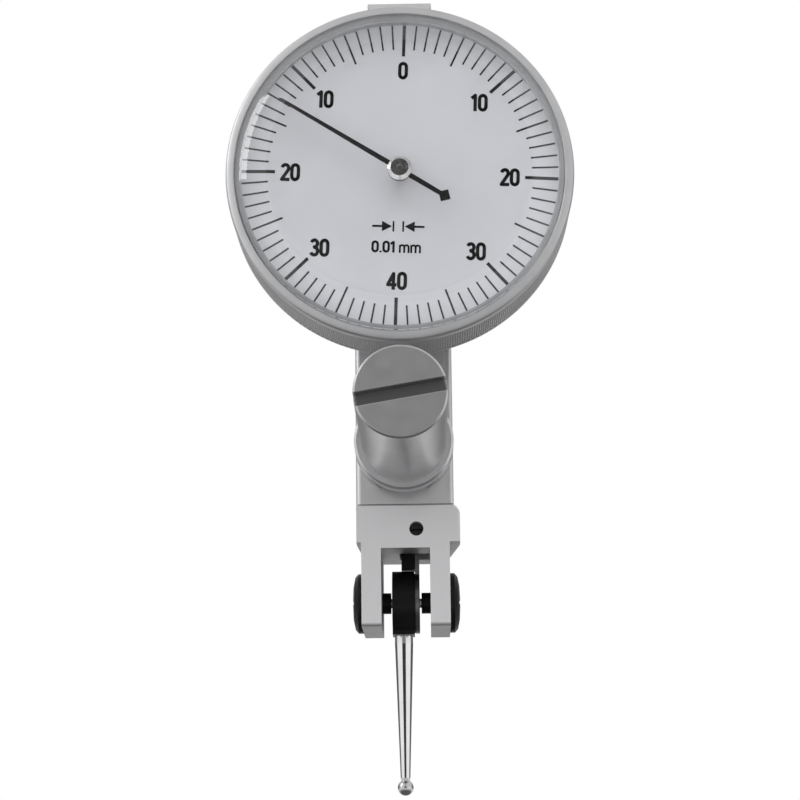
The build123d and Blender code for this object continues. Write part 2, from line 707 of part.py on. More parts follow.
def lever_arm():
    """The long measuring lever: a round hub on the axle and a narrow arm up into the body."""
    arm = rod_x(ARM_HUB_RADIUS, ARM_LEFT, ARM_RIGHT, PIVOT_Y, PIVOT_Z)
    arm += plate_yz(
        [
            (PIVOT_Y - 1.3, PIVOT_Z),
            (PIVOT_Y + 1.3, PIVOT_Z),
            (PIVOT_Y + 1.0, ARM_TOP),
            (PIVOT_Y - 1.0, ARM_TOP),
        ],
        ARM_LEFT,
        ARM_RIGHT,
    )
    arm -= rod_x(AXLE_RADIUS, ARM_LEFT, ARM_RIGHT, PIVOT_Y, PIVOT_Z)
    for z in SECTOR_RIVETS:
        arm -= rod_x(RIVET_RADIUS, ARM_LEFT, ARM_RIGHT, PIVOT_Y, z)
    return arm


def lever_neck():
    """The black block on the lever that fills the fork's slot above the stylus holder."""
    return block(NECK_LEFT, ARM_LEFT, PIVOT_Y - NECK_HALF, PIVOT_Y + NECK_HALF, NECK_BOTTOM, NECK_TOP)


def sector_gear():
    """The toothed segment on the lever's upper end, part of a wheel centred on the lever's axle."""
    pitch_angle = 2 * math.pi / SECTOR_TEETH
    points = []
    for i in range(-SECTOR_HALF_COUNT, SECTOR_HALF_COUNT + 1):
        points += tooth(math.pi / 2 - i * pitch_angle, SECTOR_RADIUS, pitch_angle)
    outline = [(PIVOT_Y + y, PIVOT_Z + z) for y, z in points]
    half = SECTOR_RADIUS * pitch_angle * (SECTOR_HALF_COUNT + 0.5)
    outline += [
        (PIVOT_Y + half, SECTOR_SHOULDER + 0.7),
        (PIVOT_Y + half, SECTOR_SHOULDER),
        (PIVOT_Y + SECTOR_STALK, SECTOR_SHOULDER - 1.6),
        (PIVOT_Y + SECTOR_STALK, SECTOR_BOTTOM),
        (PIVOT_Y - SECTOR_STALK, SECTOR_BOTTOM),
        (PIVOT_Y - SECTOR_STALK, SECTOR_SHOULDER - 1.6),
        (PIVOT_Y - half, SECTOR_SHOULDER),
        (PIVOT_Y - half, SECTOR_SHOULDER + 0.7),
    ]
    gear = plate_yz(outline, ARM_RIGHT, SECTOR_RIGHT)
    for z in SECTOR_RIVETS:
        gear -= rod_x(RIVET_RADIUS, ARM_RIGHT, SECTOR_RIGHT, PIVOT_Y, z)
    return gear


def sector_rivets():
    """Two rivets through the lever and its sector."""
    rivets = []
    for z in SECTOR_RIVETS:
        rivet = rod_x(RIVET_RADIUS, ARM_LEFT, SECTOR_RIGHT, PIVOT_Y, z)
        rivets.append(rivet + rod_x(RIVET_HEAD, SECTOR_RIGHT, SECTOR_RIGHT + 0.2, PIVOT_Y, z))
    return rivets


def lever_axle():
    """The short shaft of the lever, running on a cone point at each end."""
    axle = rod_x(AXLE_RADIUS, AXLE_LEFT, AXLE_RIGHT, PIVOT_Y, PIVOT_Z)
    axle += cone_x(CONE_TIP, AXLE_RADIUS, AXLE_LEFT - CONE_LENGTH, AXLE_LEFT, PIVOT_Y, PIVOT_Z)
    return axle + cone_x(AXLE_RADIUS, CONE_TIP, AXLE_RIGHT, AXLE_RIGHT + CONE_LENGTH, PIVOT_Y, PIVOT_Z)


def clutch_washer():
    """The friction washer between the stylus holder and the lever's hub."""
    washer = rod_x(WASHER_RADIUS, HOLDER_RIGHT, ARM_LEFT, PIVOT_Y, PIVOT_Z)
    return washer - rod_x(AXLE_RADIUS + RUN_GAP, HOLDER_RIGHT, ARM_LEFT, PIVOT_Y, PIVOT_Z)


def return_spring():
    """The leaf spring that leans on the lever and brings it back."""
    foot_y = 13.2
    touch_y = PIVOT_Y + 1.22
    outline = [
        (foot_y, FORK_TOP_Z),
        (foot_y, 1.0),
        (touch_y, 9.6),
        (touch_y + 0.5, 11.0),
        (touch_y + 0.62, 10.96),
        (touch_y + 0.14, 9.62),
        (foot_y + 0.12, 1.03),
        (foot_y + 0.12, FORK_TOP_Z),
    ]
    return plate_yz(outline, ARM_LEFT, ARM_RIGHT)


# Fork and pivot

def pivot_fork():
    """The block below the body: a shoulder, two prongs round the lever, a tenon up into the body."""
    shoulder = block(BODY_LEFT, FORK_RIGHT, BODY_FRONT, BODY_BACK, SHOULDER_Z, BODY_BOTTOM)
    right_edges = shoulder.edges().filter_by(Axis.Y).group_by(Axis.X)[-1]
    shoulder = fillet(right_edges.sort_by(Axis.Z)[-1], 1.0)
    for edge_x in (BODY_LEFT, FORK_RIGHT):
        back_x = math.copysign(PRONG_OUTER, edge_x)
        start = (edge_x, BODY_FRONT + TAPER_START)
        corner = [start, (2 * edge_x, BODY_BACK + 1.0), (back_x, BODY_BACK + 1.0)]
        cutter = extrude(make_face(Polyline(*corner, close=True)), 20.0, both=True)
        shoulder -= cutter
    shoulder = chamfer(shoulder.edges().group_by(Axis.Z)[-1], SEAM_CHAMFER)
    fork = shoulder + block(-PRONG_OUTER, PRONG_OUTER, BODY_FRONT, BODY_BACK, SLOT_TOP_Z, SHOULDER_Z)
    for side in (-1, 1):
        x0, x1 = sorted((side * PRONG_INNER, side * PRONG_OUTER))
        prong = block(x0, x1, BODY_FRONT, BODY_BACK, PRONG_END_Z, SLOT_TOP_Z)
        fork += fillet(prong.edges().filter_by(Axis.X).group_by(Axis.Z)[0], 0.4)
        fork -= rod_x(BOSS_RADIUS + 0.01, x0 - 0.1, x1 + 0.1, PIVOT_Y, PIVOT_Z)
    left = CAVITY_LEFT + 0.05
    right = FRAME_RIGHT - 0.05
    fork += block(left, right, CAVITY_FRONT + 0.05, CAVITY_BACK - 0.05, BODY_BOTTOM, FORK_TOP_Z)
    fork -= block(*PASSAGE_X, *PASSAGE_Y, SLOT_TOP_Z - 0.1, FORK_TOP_Z + 0.1)
    fork -= block(LUG_LEFT - 0.1, FRAME_RIGHT, CAVITY_FRONT, 6.4, -4.5, FORK_TOP_Z + 0.1)
    for y, z in FORK_SCREWS:
        fork -= rod_x(FORK_SCREW[1] + 0.02, CAVITY_LEFT, FORK_SCREW[3] + 0.1, y, z)
    return fork - rod_y(STOP_SCREW_RADIUS + 0.01, BODY_FRONT, 8.0, STOP_SCREW_X, STOP_SCREW_Z)


def fork_screws():
    """Two countersunk screws through the body's left wall into the fork's tenon."""
    return [screw_x(*FORK_SCREW, y, z) for y, z in FORK_SCREWS]


def lever_stop_screw():
    """The set screw in the fork's front that limits the lever's swing."""
    front = BODY_FRONT + STOP_SCREW_SUNK
    screw = rod_y(STOP_SCREW_RADIUS, front, 6.8, STOP_SCREW_X, STOP_SCREW_Z)
    screw += rod_y(0.35, 6.8, STOP_SCREW_TIP, STOP_SCREW_X, STOP_SCREW_Z)
    slot = Pos(STOP_SCREW_X, front, STOP_SCREW_Z) * Box(1.4, 0.8, 0.24)
    return screw - slot


def pivot_screw(side, inner_x):
    """A black domed pivot screw: a cap outside the prong and a boss with a cone seat for the axle."""
    cap_profile = [
        (0, PRONG_OUTER),
        (CAP_RADIUS, PRONG_OUTER),
        (CAP_RADIUS, PRONG_OUTER + 0.45),
        (CAP_RADIUS - 0.35, PRONG_OUTER + 0.75),
        (CAP_RADIUS - 1.2, PRONG_OUTER + CAP_HEIGHT - 0.08),
        (0, PRONG_OUTER + CAP_HEIGHT),
    ]
    cap = revolve(make_face(Polyline(*cap_profile, close=True)), axis=Axis.Y)
    cap = Pos(0, PIVOT_Y, PIVOT_Z) * Rot(0, 0, -90 if side > 0 else 90) * cap
    slot = Box(2 * CAP_SLOT_DEPTH, 2 * CAP_SLOT_HALF, CAP_SLOT_WIDTH)
    cap -= Pos(side * (PRONG_OUTER + CAP_HEIGHT), PIVOT_Y, PIVOT_Z) * slot
    x0, x1 = sorted((inner_x, side * (PRONG_OUTER + 0.1)))
    screw = cap + rod_x(BOSS_RADIUS, x0, x1, PIVOT_Y, PIVOT_Z)
    seat_ends = sorted((inner_x, inner_x + side * (CONE_LENGTH + 0.05)))
    mouth = AXLE_RADIUS + 0.05
    point = CONE_TIP + 0.03
    radii = (mouth, point) if side > 0 else (point, mouth)
    return screw - cone_x(*radii, *seat_ends, PIVOT_Y, PIVOT_Z)


def pivot_screw_left():
    """Left pivot screw."""
    return pivot_screw(-1, AXLE_LEFT - 0.03)


def pivot_screw_right():
    """Right pivot screw."""
    return pivot_screw(1, AXLE_RIGHT + 0.03)


# Stylus

def stylus_holder():
    """The black round holder that the stylus screws into, gripping the axle through a friction washer."""
    holder = rod_x(HOLDER_RADIUS, HOLDER_LEFT, HOLDER_RIGHT, PIVOT_Y, PIVOT_Z)
    foot = (PIVOT_Y - HOLDER_FOOT_HALF, PIVOT_Y + HOLDER_FOOT_HALF)
    holder += block(HOLDER_LEFT, HOLDER_RIGHT, *foot, STYLUS_TOP, PIVOT_Z)
    holder -= rod_x(AXLE_RADIUS + RUN_GAP, HOLDER_LEFT, HOLDER_RIGHT, PIVOT_Y, PIVOT_Z)
    hole = Pos(STYLUS_X, PIVOT_Y, STYLUS_TOP + THREAD_LENGTH / 2) * Cylinder(THREAD_RADIUS + 0.01, THREAD_LENGTH)
    return holder - hole


def stylus():
    """The slender tapered contact arm with its threaded end."""
    outline = [
        (0, STYLUS_TOP + THREAD_LENGTH - 0.1),
        (THREAD_RADIUS, STYLUS_TOP + THREAD_LENGTH - 0.1),
        (THREAD_RADIUS, STYLUS_TOP),
        (STYLUS_RADIUS, STYLUS_TOP),
        (STYLUS_RADIUS, STYLUS_TOP - STYLUS_COLLAR),
        (STYLUS_TIP_RADIUS, BALL_Z + 0.9),
        (STYLUS_TIP_RADIUS - 0.06, BALL_Z + 0.64),
        (0.0, BALL_Z + 0.64),
    ]
    rod = revolve(make_face(Plane.XZ * Polyline(*outline, close=True)), axis=Axis.Z)
    return Pos(STYLUS_X, PIVOT_Y, 0) * rod - contact_ball()


def contact_ball():
    """The hard ball at the stylus's end."""
    return Pos(STYLUS_X, PIVOT_Y, BALL_Z) * Sphere(BALL_RADIUS)


# Stem and claw

def dovetail_claw():
    """The round claw whose dovetail slot slides on the body's front rail."""
    claw = rod_y(CLAW_RADIUS, 0, BODY_FRONT - 0.1, 0, 0)
    edges = claw.edges().filter_by(GeomType.CIRCLE).group_by(Axis.Y)[0]
    claw = chamfer(edges, 0.2)
    root_y = BODY_FRONT - 0.05
    top_y = BODY_FRONT - RAIL_HEIGHT - RAIL_GAP
    root_x = RAIL_NARROW / 2 + RAIL_GAP
    wide_x = RAIL_WIDE / 2 + RAIL_GAP
    slot = [
        (-root_x, root_y),
        (root_x, root_y),
        (wide_x, top_y + RAIL_EDGE),
        (wide_x, top_y),
        (-wide_x, top_y),
        (-wide_x, top_y + RAIL_EDGE),
    ]
    cutter = extrude(make_face(Polyline(*slot, close=True)), 3 * CLAW_RADIUS)
    claw -= Pos(0, 0, -1.5 * CLAW_RADIUS) * cutter
    return claw - rod_y(STUB_RADIUS + 0.02, 0, 2.0, 0, 0)


def stem():
    """The round stem: a screwdriver slot across its free end and a screw stub that grips the rail."""
    shaft = rod_y(STEM_RADIUS, -STEM_LENGTH, 0, 0, 0)
    free_edge = shaft.edges().filter_by(GeomType.CIRCLE).group_by(Axis.Y)[0]
    shaft = chamfer(free_edge, STEM_CHAMFER)
    slot = Rot(0, -SLOT_ANGLE, 0) * Box(3 * STEM_RADIUS, SLOT_DEPTH, SLOT_WIDTH)
    slot = Pos(0, -STEM_LENGTH + SLOT_DEPTH / 2, 0) * slot
    stub = rod_y(STUB_RADIUS, 0, BODY_FRONT - RAIL_HEIGHT - 0.02, 0, 0)
    return shaft + stub - slot


SINGLE_PIECES = [
    body_frame, side_cover, dial_base, bezel_wire, bezel_ring, crystal, crystal_gasket, dial_plate,
    dial_retaining_ring, pointer, pointer_hub, pointer_arbor, centre_pinion, centre_bush,
    pinion_bridge, pinion_bridge_screw, crown_wheel, crown_pinion, crown_arbor, crown_bridge,
    hairspring, hairspring_collet, hairspring_stud, lever_arm, lever_neck, sector_gear, lever_axle,
    clutch_washer, return_spring, pivot_fork, lever_stop_screw, pivot_screw_left,
    pivot_screw_right, stylus_holder, stylus, contact_ball, dovetail_claw, stem,
]
GROUPS = [
    side_cover_screws, dial_base_screws, pointer_jewels, crown_jewels, crown_bridge_screws, sector_rivets,
    fork_screws,
]

for make in SINGLE_PIECES:
    export_step(make(), f"parts/{make.__name__}.step")
for make in GROUPS:
    export_step(Compound(children=make()), f"parts/{make.__name__}.step")
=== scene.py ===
"""Looks, studio and camera for the dial test indicator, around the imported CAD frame.

Places are in metres in the frame's axes: X to the right, -Y towards the camera and Z up.
The bezel, the crystal and the dial's printing are worked out in millimetres, which dial_point and
dial_vertex turn into metres.
"""
import math

import bmesh
import bpy
from mathutils import Matrix, Vector


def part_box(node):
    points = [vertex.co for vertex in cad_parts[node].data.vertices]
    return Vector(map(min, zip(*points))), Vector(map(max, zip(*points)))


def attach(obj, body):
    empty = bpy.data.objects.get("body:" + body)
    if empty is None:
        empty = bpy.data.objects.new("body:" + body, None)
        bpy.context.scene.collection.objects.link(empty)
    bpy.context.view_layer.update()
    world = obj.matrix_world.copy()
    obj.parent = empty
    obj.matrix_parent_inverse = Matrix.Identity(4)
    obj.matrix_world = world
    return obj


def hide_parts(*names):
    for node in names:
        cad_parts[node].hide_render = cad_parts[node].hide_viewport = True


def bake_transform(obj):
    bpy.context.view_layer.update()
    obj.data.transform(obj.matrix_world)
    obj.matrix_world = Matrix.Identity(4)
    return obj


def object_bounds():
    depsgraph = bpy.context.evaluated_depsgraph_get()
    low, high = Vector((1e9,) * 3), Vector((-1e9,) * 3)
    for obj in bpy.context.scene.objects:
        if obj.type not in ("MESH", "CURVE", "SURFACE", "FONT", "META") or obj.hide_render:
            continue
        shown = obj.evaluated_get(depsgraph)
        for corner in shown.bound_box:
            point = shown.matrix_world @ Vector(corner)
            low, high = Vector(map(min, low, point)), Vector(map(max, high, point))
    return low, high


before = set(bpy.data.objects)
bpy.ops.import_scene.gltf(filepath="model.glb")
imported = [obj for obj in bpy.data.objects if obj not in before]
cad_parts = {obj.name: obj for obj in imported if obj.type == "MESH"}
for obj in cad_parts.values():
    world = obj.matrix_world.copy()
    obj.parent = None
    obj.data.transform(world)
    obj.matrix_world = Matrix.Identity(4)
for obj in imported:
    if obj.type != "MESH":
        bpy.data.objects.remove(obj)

MM = 0.001
cad_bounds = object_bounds()


def corners(node):
    """The lowest and highest corner of a CAD node, as vectors in metres."""
    low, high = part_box(node)
    return Vector(low), Vector(high)


def middle(node):
    """The middle of a CAD node's box."""
    low, high = corners(node)
    return (low + high) / 2


DIAL_CENTRE = middle("dial_plate")
STEM_CENTRE = middle("stem")
STYLUS_CENTRE = middle("stylus")
PIVOT_CENTRE = middle("stylus_holder")

# ---------------------------------------------------------------- shader nodes


def node(tree, kind, inputs=(), **settings):
    """A shader node with its settings and its inputs, each a value or another node's output socket."""
    made = tree.nodes.new("ShaderNode" + kind)
    for name, value in settings.items():
        setattr(made, name, value)
    for name, value in dict(inputs).items():
        if isinstance(value, bpy.types.NodeSocket):
            tree.links.new(value, made.inputs[name])
        else:
            made.inputs[name].default_value = value
    return made


def maths(tree, operation, first, second=0.0, clamp=False):
    """One Math node's output."""
    made = node(tree, "Math", {0: first, 1: second}, operation=operation, use_clamp=clamp)
    return made.outputs[0]


def vector_maths(tree, operation, first, second=(0, 0, 0)):
    """One Vector Math node."""
    return node(tree, "VectorMath", {0: first, 1: second}, operation=operation)


def spread(tree, value, low, high, to_low, to_high):
    """A value taken from one range to another, kept inside it."""
    inputs = {"Value": value, "From Min": low, "From Max": high, "To Min": to_low, "To Max": to_high}
    return node(tree, "MapRange", inputs).outputs[0]


def noise(tree, vector, scale, detail=3.0, roughness=0.5):
    """Noise between 0 and 1 at that many features per metre of its vector."""
    inputs = {"Vector": vector, "Scale": scale, "Detail": detail, "Roughness": roughness}
    return node(tree, "TexNoise", inputs).outputs[0]


def blend_colours(tree, share, first, second):
    """A mix of two colours."""
    made = node(tree, "Mix", {0: share, 6: first, 7: second}, data_type="RGBA")
    return made.outputs[2]


def turned_vector(tree, place, axis, centre):
    """Coordinates of a turned surface: distance from the axis, and distance along it."""
    along = [1.0 if letter == axis else 0.0 for letter in "XYZ"]
    across = [1.0 - share for share in along]
    offset = vector_maths(tree, "SUBTRACT", place, tuple(centre)).outputs[0]
    flat = vector_maths(tree, "MULTIPLY", offset, across).outputs[0]
    radius = vector_maths(tree, "LENGTH", flat).outputs["Value"]
    travel = vector_maths(tree, "DOT_PRODUCT", offset, along).outputs["Value"]
    return node(tree, "CombineXYZ", {0: radius, 1: travel}).outputs[0]


def colour(value, tint=(1.0, 1.0, 1.0)):
    """A grey with a slight tint, as an RGBA colour."""
    return (value * tint[0], value * tint[1], value * tint[2], 1.0)


def empty_material(name):
    """A new material and its node tree, with no nodes in it yet."""
    material = bpy.data.materials.new(name)
    material.use_nodes = True
    material.node_tree.nodes.clear()
    return material, material.node_tree


# ---------------------------------------------------------------- metal and paint

COOL = (0.985, 0.985, 1.0)
WARM = (1.0, 0.985, 0.96)
BRASS = (1.0, 0.76, 0.38)

# Every finish mixes its noises in these shares; a pair of limits is where a slope starts and ends.
GRAIN_IN_TONE = 0.35
TONE_LIMITS = (0.45, 0.85)
GRAIN_IN_GLOSS = 0.5
GLOSS_LIMITS = (0.5, 1.0)
PATCHES_PER_BLOTCH = 4.3
EDGE_LIMITS = (0.995, 0.9)
RUB_LIMITS = (0.35, 0.7)
LEAST_RUB = 0.2
WORN_GAIN = 1.25
# The painted shade in a turned part's hollow: how soft its edge is, and its tone.
HOLLOW_SHADE_BLUR = 0.0002
HOLLOW_SHADE_TONE = 0.2


def edge_wear_or_shade(tree, rounded, flat, patches):
    """How much an edge takes its edge colour, which shows wear on most parts and painted shade on the stem:
    where the rounded normal leaves the flat one, more in some patches.
    """
    facing = vector_maths(tree, "DOT_PRODUCT", rounded, flat).outputs["Value"]
    rim = spread(tree, facing, *EDGE_LIMITS, 0.0, 1.0)
    return maths(tree, "MULTIPLY", rim, spread(tree, patches, *RUB_LIMITS, LEAST_RUB, 1.0))


def hollow_shade_share(tree, place, turned, start, end, radius):
    """Where a turned part's hollow takes painted shade: 1 from start to end along its axis, and out to a
    radius.
    """
    spot = node(tree, "SeparateXYZ", {0: turned_vector(tree, place, *turned)}).outputs
    sunk = spread(tree, spot[1], start, start + HOLLOW_SHADE_BLUR, 0.0, 1.0)
    inside = spread(tree, spot[1], end, end + HOLLOW_SHADE_BLUR, 1.0, 0.0)
    within = spread(tree, spot[0], radius - HOLLOW_SHADE_BLUR, radius, 1.0, 0.0)
    return maths(tree, "MULTIPLY", maths(tree, "MULTIPLY", sunk, inside), within)


def finish(
    name,
    dark,
    light,
    metallic=1.0,
    rough=(0.25, 0.4),
    grain=9000.0,
    grain_depth=0.0000015,
    turned=None,
    stretch=(1.0, 1.0, 1.0),
    mottle=350.0,
    wear_or_shade=0.25,
    worn_or_shaded=None,
    edge=0.00006,
    tint=COOL,
    coat=0.0,
    specular=0.5,
    front_painted_tone=None,
    front_painted_limits=(0.3, 0.65),
    hollow_painted_shade=None,
):
    """A machined or painted surface: blotches, directional grain, and rounded edges that show wear, or
    painted shade on the stem.

    Its tone lies between dark and light. Grain and mottle are features per metre. The grain runs round
    the turned axis, or along the direction in which stretch is small. What faces the front takes a painted
    tone that stands in for light and shade, and a turned part's hollow can take painted shade.
    """
    material, tree = empty_material(name)
    place = node(tree, "TexCoord").outputs["Object"]
    if turned:
        lines = turned_vector(tree, place, *turned)
    else:
        lines = vector_maths(tree, "MULTIPLY", place, stretch).outputs[0]
    blotch = noise(tree, place, mottle, detail=4.0, roughness=0.55)
    fine = noise(tree, lines, grain, detail=2.0, roughness=0.6)
    patches = noise(tree, place, mottle * PATCHES_PER_BLOTCH, detail=3.0, roughness=0.6)
    rounded = node(tree, "Bevel", {"Radius": edge}, samples=4).outputs[0]
    flat = node(tree, "NewGeometry").outputs["Normal"]
    mixed = maths(tree, "ADD", blotch, maths(tree, "MULTIPLY", fine, GRAIN_IN_TONE))
    tone = spread(tree, mixed, *TONE_LIMITS, 0.0, 1.0)
    base = blend_colours(tree, tone, colour(dark, tint), colour(light, tint))
    # The edge colour: lighter wear by default, and a dark painted shade on the stem's chamfered rim.
    worn_or_shaded_share = maths(tree, "MULTIPLY", edge_wear_or_shade(tree, rounded, flat, patches), wear_or_shade)
    base = blend_colours(tree, worn_or_shaded_share, base, worn_or_shaded or colour(min(1.0, light * WORN_GAIN), tint))
    # Painted light and shade: surfaces that face the front take a set tone in place of their own colour.
    if front_painted_tone is not None:
        ahead = maths(tree, "MULTIPLY", node(tree, "SeparateXYZ", {0: flat}).outputs[1], -1.0)
        base = blend_colours(tree, spread(tree, ahead, *front_painted_limits, 0.0, 1.0), base, colour(front_painted_tone, tint))
    # Painted shade in a turned part's hollow, such as the stem's slot.
    if hollow_painted_shade is not None:
        base = blend_colours(tree, hollow_shade_share(tree, place, turned, *hollow_painted_shade), base, colour(HOLLOW_SHADE_TONE, tint))
    uneven = maths(tree, "ADD", patches, maths(tree, "MULTIPLY", fine, GRAIN_IN_GLOSS))
    bump_inputs = {"Strength": 1.0, "Distance": grain_depth, "Height": fine, "Normal": rounded}
    shader_inputs = {
        "Base Color": base,
        "Metallic": metallic,
        "Roughness": spread(tree, uneven, *GLOSS_LIMITS, *rough),
        "Normal": node(tree, "Bump", bump_inputs).outputs[0],
        "Coat Weight": coat,
        "Specular IOR Level": specular,
    }
    shader = node(tree, "BsdfPrincipled", shader_inputs)
    node(tree, "OutputMaterial", {"Surface": shader.outputs[0]})
    return material


DIAL_AXIS = ("Y", DIAL_CENTRE)
STEM_AXIS = ("Y", STEM_CENTRE)
STYLUS_AXIS = ("Z", STYLUS_CENTRE)
PIVOT_AXIS = ("X", PIVOT_CENTRE)

case_steel = finish(
    "case_steel", 0.6, 0.66, metallic=0.62, rough=(0.34, 0.44), grain=11000.0, stretch=(1.0, 1.0, 0.06)
)
cover_steel = finish(
    "cover_steel", 0.59, 0.65, metallic=0.62, rough=(0.32, 0.42), grain=11000.0, stretch=(1.0, 1.0, 0.05)
)
bezel_chrome = finish("bezel_chrome", 0.56, 0.62, rough=(0.48, 0.56), turned=DIAL_AXIS, grain=14000.0)
dial_paint = finish(
    "dial_paint", 0.68, 0.715, metallic=0.0, rough=(0.38, 0.5), grain=16000.0, grain_depth=0.0000008,
    mottle=240.0, wear_or_shade=0.0, tint=(0.975, 0.97, 1.0),
)
dial_ink = finish(
    "dial_ink", 0.010, 0.016, metallic=0.0, rough=(0.5, 0.6), grain=20000.0, wear_or_shade=0.0, edge=0.00001,
    tint=(1.0, 0.98, 1.05), specular=0.1,
)
pointer_black = finish(
    "pointer_black", 0.010, 0.016, metallic=0.0, rough=(0.4, 0.5), grain=20000.0, wear_or_shade=0.0, edge=0.00003,
    specular=0.15,
)
# The hub's front face is darkened with painted shade.
hub_steel = finish(
    "hub_steel", 0.75, 0.85, rough=(0.2, 0.32), turned=DIAL_AXIS, grain=22000.0, wear_or_shade=0.0, tint=WARM,
    front_painted_tone=0.2, front_painted_limits=(0.75, 0.95),
)

# The stem's slot, darkened with painted shade: how far behind the face its hollow starts and ends,
# and how far out it reaches.
STEM_HALF = (corners("stem")[1].y - corners("stem")[0].y) / 2
SLOT_START = 0.0001
SLOT_END = 0.0016
SLOT_REACH = 0.00395
# The stem's front face takes a painted tone for its light. Its slot and chamfered rim take a dark painted
# shade.
stem_steel = finish(
    "stem_steel", 0.48, 0.55, rough=(0.28, 0.34), turned=STEM_AXIS, grain=16000.0, grain_depth=0.0000008,
    mottle=180.0, wear_or_shade=0.9, worn_or_shaded=(0.18, 0.18, 0.18, 1.0), edge=0.00013, front_painted_tone=0.54,
    hollow_painted_shade=(SLOT_START - STEM_HALF, SLOT_END - STEM_HALF, SLOT_REACH),
)
claw_steel = finish(
    "claw_steel", 0.6, 0.66, metallic=0.85, rough=(0.3, 0.38), turned=STEM_AXIS, grain=14000.0
)
# The fork's front faces are lightened with painted light.
fork_steel = finish(
    "fork_steel", 0.56, 0.62, metallic=0.6, rough=(0.44, 0.52), grain=12000.0, front_painted_tone=0.78,
    front_painted_limits=(0.6, 0.9),
)
black_oxide = finish(
    "black_oxide", 0.008, 0.014, metallic=0.0, rough=(0.3, 0.42), turned=PIVOT_AXIS, grain=12000.0,
    wear_or_shade=0.12, worn_or_shaded=(0.1, 0.1, 0.105, 1.0), specular=0.12,
)
lever_steel = finish("lever_steel", 0.14, 0.2, rough=(0.3, 0.42), stretch=(1.0, 1.0, 0.1), grain=12000.0)
stylus_chrome = finish(
    "stylus_chrome", 0.62, 0.7, rough=(0.06, 0.12), turned=STYLUS_AXIS, grain=12000.0,
    grain_depth=0.0000005, wear_or_shade=0.0, edge=0.00002,
)
ball_carbide = finish("ball_carbide", 0.5, 0.6, rough=(0.05, 0.1), grain_depth=0.0000003, wear_or_shade=0.0)
screw_steel = finish("screw_steel", 0.22, 0.34, rough=(0.24, 0.38), grain=12000.0)
dark_screw = finish("dark_screw", 0.02, 0.04, metallic=0.6, rough=(0.35, 0.5), grain=12000.0, wear_or_shade=0.1)
gear_brass = finish(
    "gear_brass", 0.5, 0.62, rough=(0.22, 0.34), turned=PIVOT_AXIS, grain=15000.0, tint=BRASS
)
ring_brass = finish("ring_brass", 0.5, 0.62, rough=(0.25, 0.36), turned=DIAL_AXIS, tint=BRASS)
arbor_steel = finish("arbor_steel", 0.4, 0.5, rough=(0.12, 0.22), grain=16000.0)
spring_steel = finish("spring_steel", 0.2, 0.34, rough=(0.18, 0.3), grain=14000.0, tint=(0.86, 0.92, 1.1))
jewel_ruby = finish(
    "jewel_ruby", 0.35, 0.5, metallic=0.0, rough=(0.06, 0.12), grain_depth=0.0000003, wear_or_shade=0.0,
    tint=(1.0, 0.08, 0.16), coat=0.6,
)
gasket_grey = finish("gasket_grey", 0.3, 0.36, metallic=0.0, rough=(0.5, 0.6), wear_or_shade=0.0)

# ---------------------------------------------------------------- glass

SMEARS_PER_METRE = 260.0
WAVES_PER_METRE = 120.0
SMEAR_LIMITS = (0.45, 0.75)
GLASS_ROUGH = (0.004, 0.03)


def clear_glass(name):
    """Clear window glass that lets lamps through to what it covers."""
    material, tree = empty_material(name)
    place = node(tree, "TexCoord").outputs["Object"]
    smears = noise(tree, place, SMEARS_PER_METRE, detail=4.0, roughness=0.6)
    waves = noise(tree, place, WAVES_PER_METRE, detail=1.0, roughness=0.4)
    glass_inputs = {
        "Base Color": (0.985, 0.99, 1.0, 1.0),
        "Roughness": spread(tree, smears, *SMEAR_LIMITS, *GLASS_ROUGH),
        "Transmission Weight": 1.0,
        "IOR": 1.49,
        "Normal": node(tree, "Bump", {"Strength": 0.3, "Distance": 0.00001, "Height": waves}).outputs[0],
    }
    glass = node(tree, "BsdfPrincipled", glass_inputs)
    open_to_lamps = node(tree, "BsdfTransparent", {"Color": (0.94, 0.95, 0.96, 1.0)})
    lamp_ray = node(tree, "LightPath").outputs["Is Shadow Ray"]
    both = node(tree, "MixShader", {0: lamp_ray, 1: glass.outputs[0], 2: open_to_lamps.outputs[0]})
    node(tree, "OutputMaterial", {"Surface": both.outputs[0]})
    return material


crystal_clear = clear_glass("crystal_clear")

# ---------------------------------------------------------------- which part wears what

NODE_FINISHES = {
    "body_frame": case_steel,
    "side_cover": cover_steel,
    "side_cover_screws": screw_steel,
    "dial_base": case_steel,
    "dial_base_screws": screw_steel,
    "bezel_wire": spring_steel,
    "crystal_gasket": gasket_grey,
    "dial_plate": dial_paint,
    "dial_retaining_ring": ring_brass,
    "pointer": pointer_black,
    "pointer_hub": hub_steel,
    "pointer_arbor": arbor_steel,
    "centre_pinion": gear_brass,
    "centre_bush": ring_brass,
    "pinion_bridge": gear_brass,
    "pinion_bridge_screw": screw_steel,
    "crown_wheel": gear_brass,
    "crown_pinion": arbor_steel,
    "crown_arbor": arbor_steel,
    "crown_bridge": gear_brass,
    "crown_bridge_screws": screw_steel,
    "hairspring": spring_steel,
    "hairspring_collet": gear_brass,
    "hairspring_stud": screw_steel,
    "lever_arm": lever_steel,
    "lever_neck": black_oxide,
    "sector_gear": gear_brass,
    "sector_rivets": screw_steel,
    "lever_axle": arbor_steel,
    "clutch_washer": dark_screw,
    "return_spring": spring_steel,
    "pivot_fork": fork_steel,
    "fork_screws": screw_steel,
    "lever_stop_screw": dark_screw,
    "pivot_screw_left": black_oxide,
    "pivot_screw_right": black_oxide,
    "stylus_holder": black_oxide,
    "stylus": stylus_chrome,
    "contact_ball": ball_carbide,
    "dovetail_claw": claw_steel,
    "stem": stem_steel,
    "pointer_jewels": jewel_ruby,
    "crown_jewels": jewel_ruby,
}

